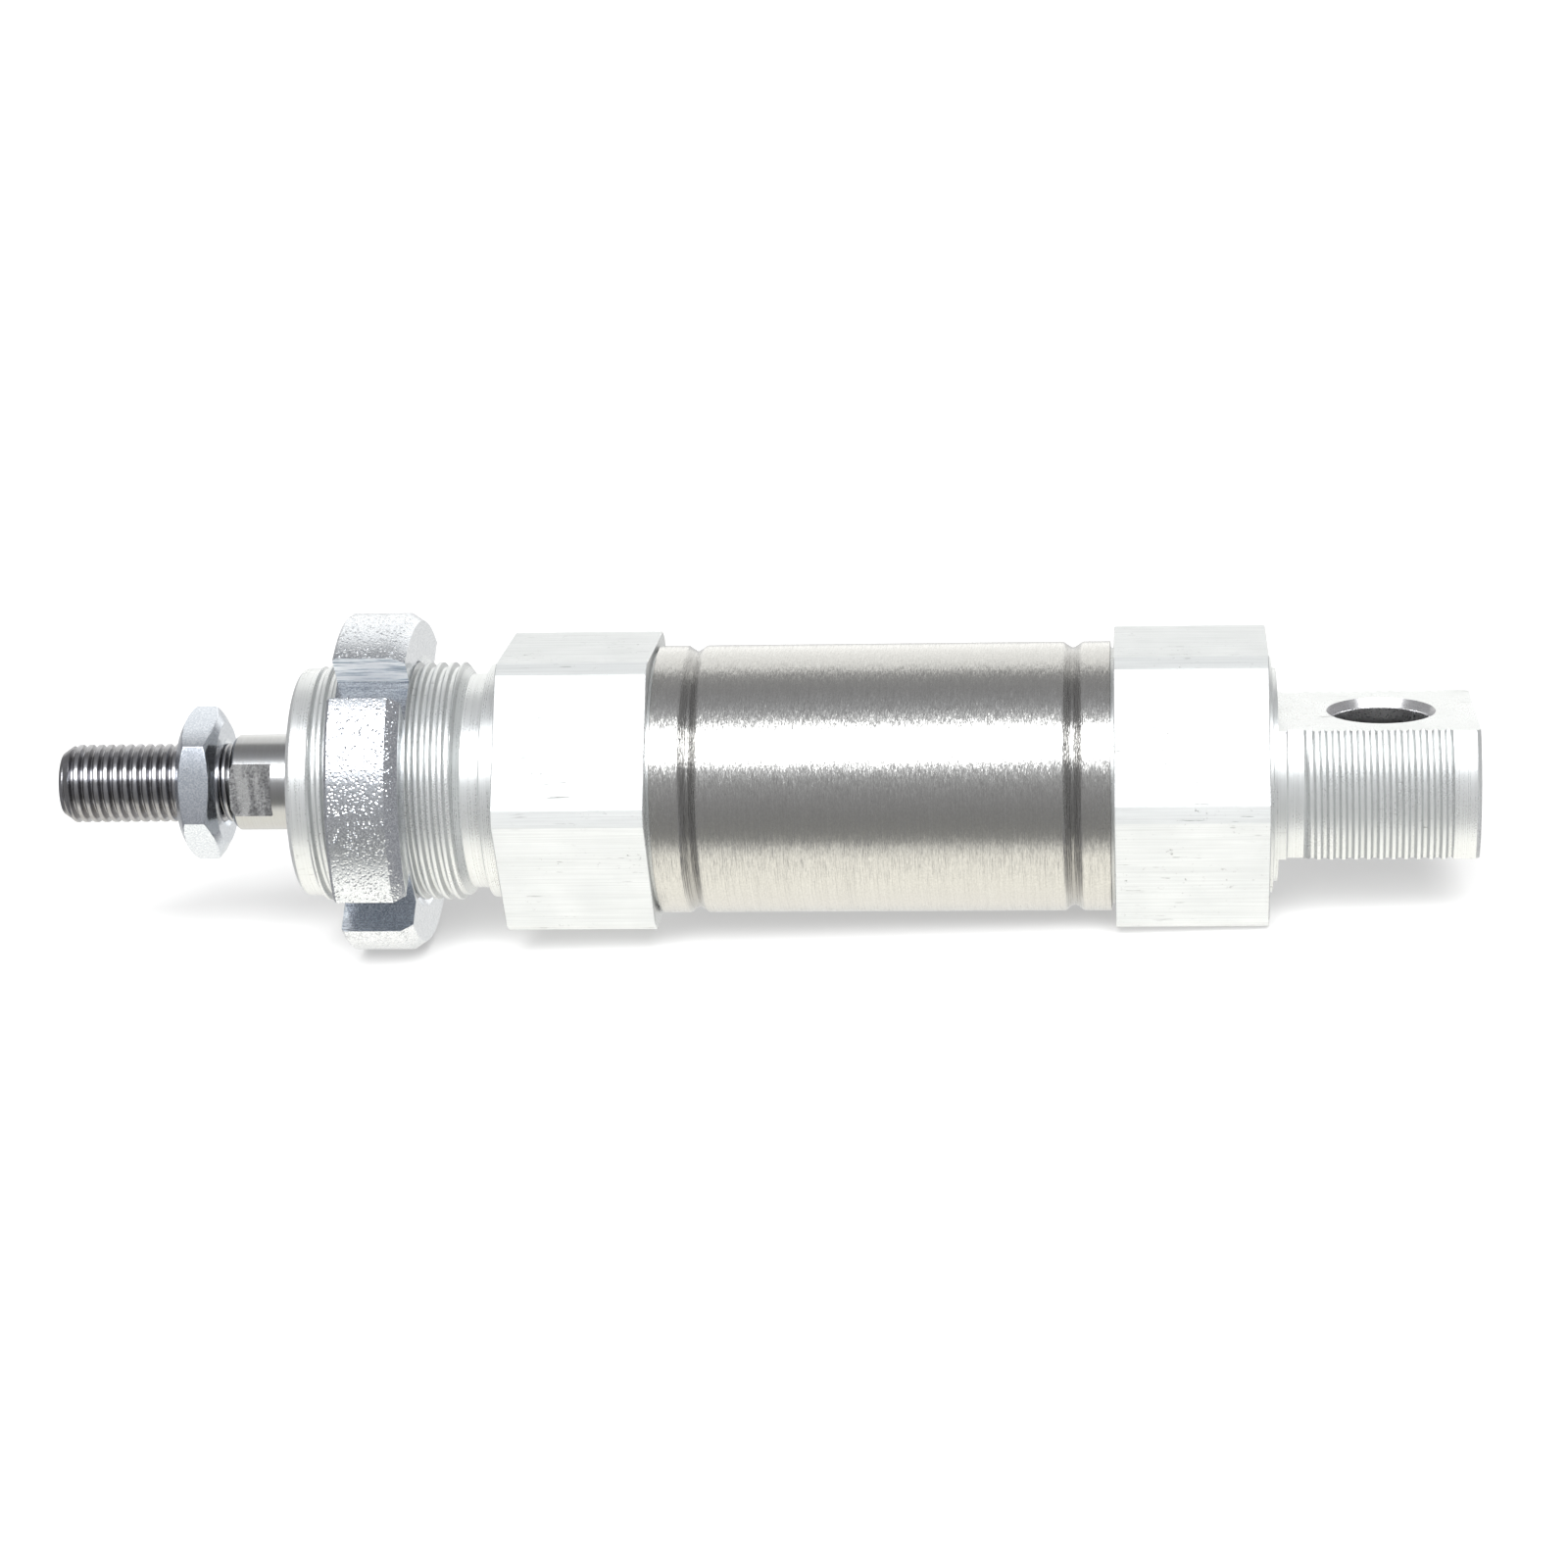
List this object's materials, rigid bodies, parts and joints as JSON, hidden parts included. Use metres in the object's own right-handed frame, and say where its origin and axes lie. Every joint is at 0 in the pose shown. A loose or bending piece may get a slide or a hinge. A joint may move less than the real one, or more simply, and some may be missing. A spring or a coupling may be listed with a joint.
{
  "type": "pneumatic cylinder",
  "caption": "Round double-acting pneumatic cylinder with threaded nose, slotted mounting nut, threaded rod end with lock nut, hexagonal end caps and a flat-sided rear eye.",
  "frame": {"origin": "centre of the end face of the rear eye, on the cylinder's axis", "axes": "+X along the cylinder's axis, out of the rear eye, so the rod points towards -X; +Z along the axis of the pin hole in the eye; the ports face +Y and up"},
  "size_m": [0.1762, 0.0422, 0.0422],
  "materials": {
    "anodised_caps": "turned and clear anodised, satin",
    "stainless_tube": "brushed round the tube",
    "zinc_nut": "bright zinc plated, grainy",
    "lock_nut_zinc": "bright zinc plated, smooth",
    "rod_steel": "ground and polished",
    "bush_bronze": "sintered, dull",
    "seal_rubber": "matte black",
    "bumper_rubber": "satin dark green",
    "magnet_compound": "plastic-bonded ferrite, matte",
    "guide_plastic": "smooth, off-white",
    "piston_aluminium": "turned"
  },
  "bodies": {
    "cylinder_body": {"barrel_tube": "stainless_tube", "front_cap": "anodised_caps", "rear_cap": "anodised_caps", "front_tube_o_ring": "seal_rubber", "rear_tube_o_ring": "seal_rubber", "front_bumper": "bumper_rubber", "rear_bumper": "bumper_rubber", "rod_bush": "bush_bronze", "rod_wiper_seal": "seal_rubber"},
    "piston_seals": {"front_piston_seal": "seal_rubber", "rear_piston_seal": "seal_rubber", "piston_wear_ring": "guide_plastic"},
    "rod_assembly": {"piston_rod": "rod_steel", "piston_front_half": "piston_aluminium", "piston_rear_half": "piston_aluminium", "piston_magnet": "magnet_compound", "piston_o_ring": "seal_rubber", "piston_nut": "zinc_nut"},
    "lock_nut": {"rod_lock_nut": "lock_nut_zinc"},
    "nose_nut": {"mounting_nut": "zinc_nut"}
  },
  "joints": [
    {"name": "rod_stroke", "type": "slide", "parent": "cylinder_body", "child": "piston_seals", "axis": [-1, 0, 0], "range_m": [0, 0.025]},
    {"name": "rod_spin", "type": "hinge", "parent": "piston_seals", "child": "rod_assembly", "pos_m": [-0.06, 0, 0], "axis": [-1, 0, 0], "continuous": true},
    {"name": "lock_nut_travel", "type": "slide", "parent": "rod_assembly", "child": "lock_nut", "axis": [-1, 0, 0], "range_m": [0, 0.015]},
    {"name": "mounting_nut_travel", "type": "slide", "parent": "cylinder_body", "child": "nose_nut", "axis": [1, 0, 0], "range_m": [-0.0015, 0.0075]}
  ]
}
